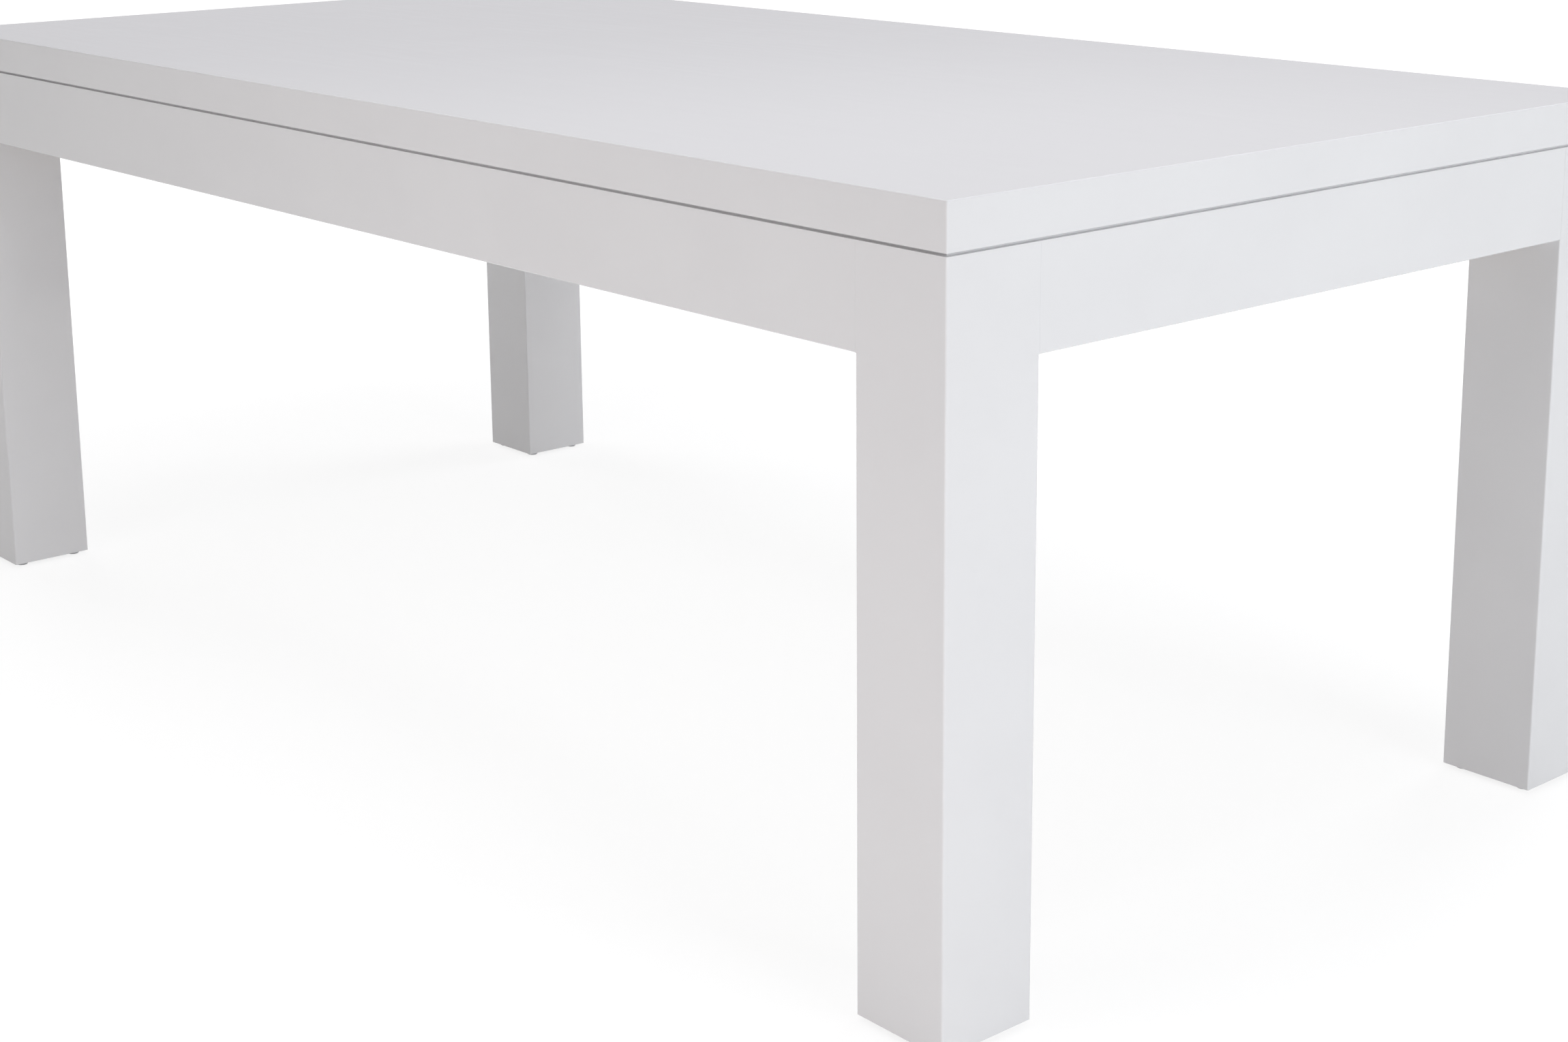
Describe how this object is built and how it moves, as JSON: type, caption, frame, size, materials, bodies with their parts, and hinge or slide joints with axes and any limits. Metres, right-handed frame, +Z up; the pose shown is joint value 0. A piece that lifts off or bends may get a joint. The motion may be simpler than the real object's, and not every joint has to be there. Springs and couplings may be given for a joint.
{
  "type": "dining table",
  "caption": "Rectangular parsons dining table in white gloss lacquer: thick flush-edged top over a shadow gap, flush aprons and square hollow corner legs on nail-on glides.",
  "frame": {"origin": "on the floor, under the middle of the top", "axes": "+X along the length, +Y across the width from front to back, +Z up"},
  "size_m": [2, 1, 0.76],
  "materials": {
    "white_gloss_lacquer": "high-gloss white lacquer on board, thinner and satin on hidden faces",
    "primed_board": "matt white primer on board",
    "beech": "planed bare beech",
    "zinc_plated_steel": "bright zinc plating",
    "grey_nylon": "moulded nylon"
  },
  "bodies": {
    "root": {"top_sheet": "white_gloss_lacquer", "edge_strip_front": "white_gloss_lacquer", "edge_strip_back": "white_gloss_lacquer", "edge_strip_left": "white_gloss_lacquer", "edge_strip_right": "white_gloss_lacquer", "apron_front": "white_gloss_lacquer", "apron_back": "white_gloss_lacquer", "apron_left": "white_gloss_lacquer", "apron_right": "white_gloss_lacquer", "leg_front_left": "white_gloss_lacquer", "leg_front_right": "white_gloss_lacquer", "leg_back_left": "white_gloss_lacquer", "leg_back_right": "white_gloss_lacquer", "top_batten_left": "primed_board", "top_batten_right": "primed_board", "leg_foot_plug_front_left": "primed_board", "leg_foot_plug_front_right": "primed_board", "leg_foot_plug_back_left": "primed_board", "leg_foot_plug_back_right": "primed_board", "cross_rail_left": "beech", "cross_rail_right": "beech", "corner_block_front_left": "beech", "corner_block_front_right": "beech", "corner_block_back_left": "beech", "corner_block_back_right": "beech", "leg_head_block_front_left": "beech", "leg_head_block_front_right": "beech", "leg_head_block_back_left": "beech", "leg_head_block_back_right": "beech", "apron_dowels": "beech", "hanger_bolts": "zinc_plated_steel", "bolt_washers": "zinc_plated_steel", "bolt_nuts": "zinc_plated_steel", "corner_block_screws": "zinc_plated_steel", "top_brackets": "zinc_plated_steel", "top_bracket_screws": "zinc_plated_steel", "rail_brackets": "zinc_plated_steel", "rail_bracket_screws": "zinc_plated_steel", "glide_nails": "zinc_plated_steel", "glides": "grey_nylon"}
  },
  "joints": []
}
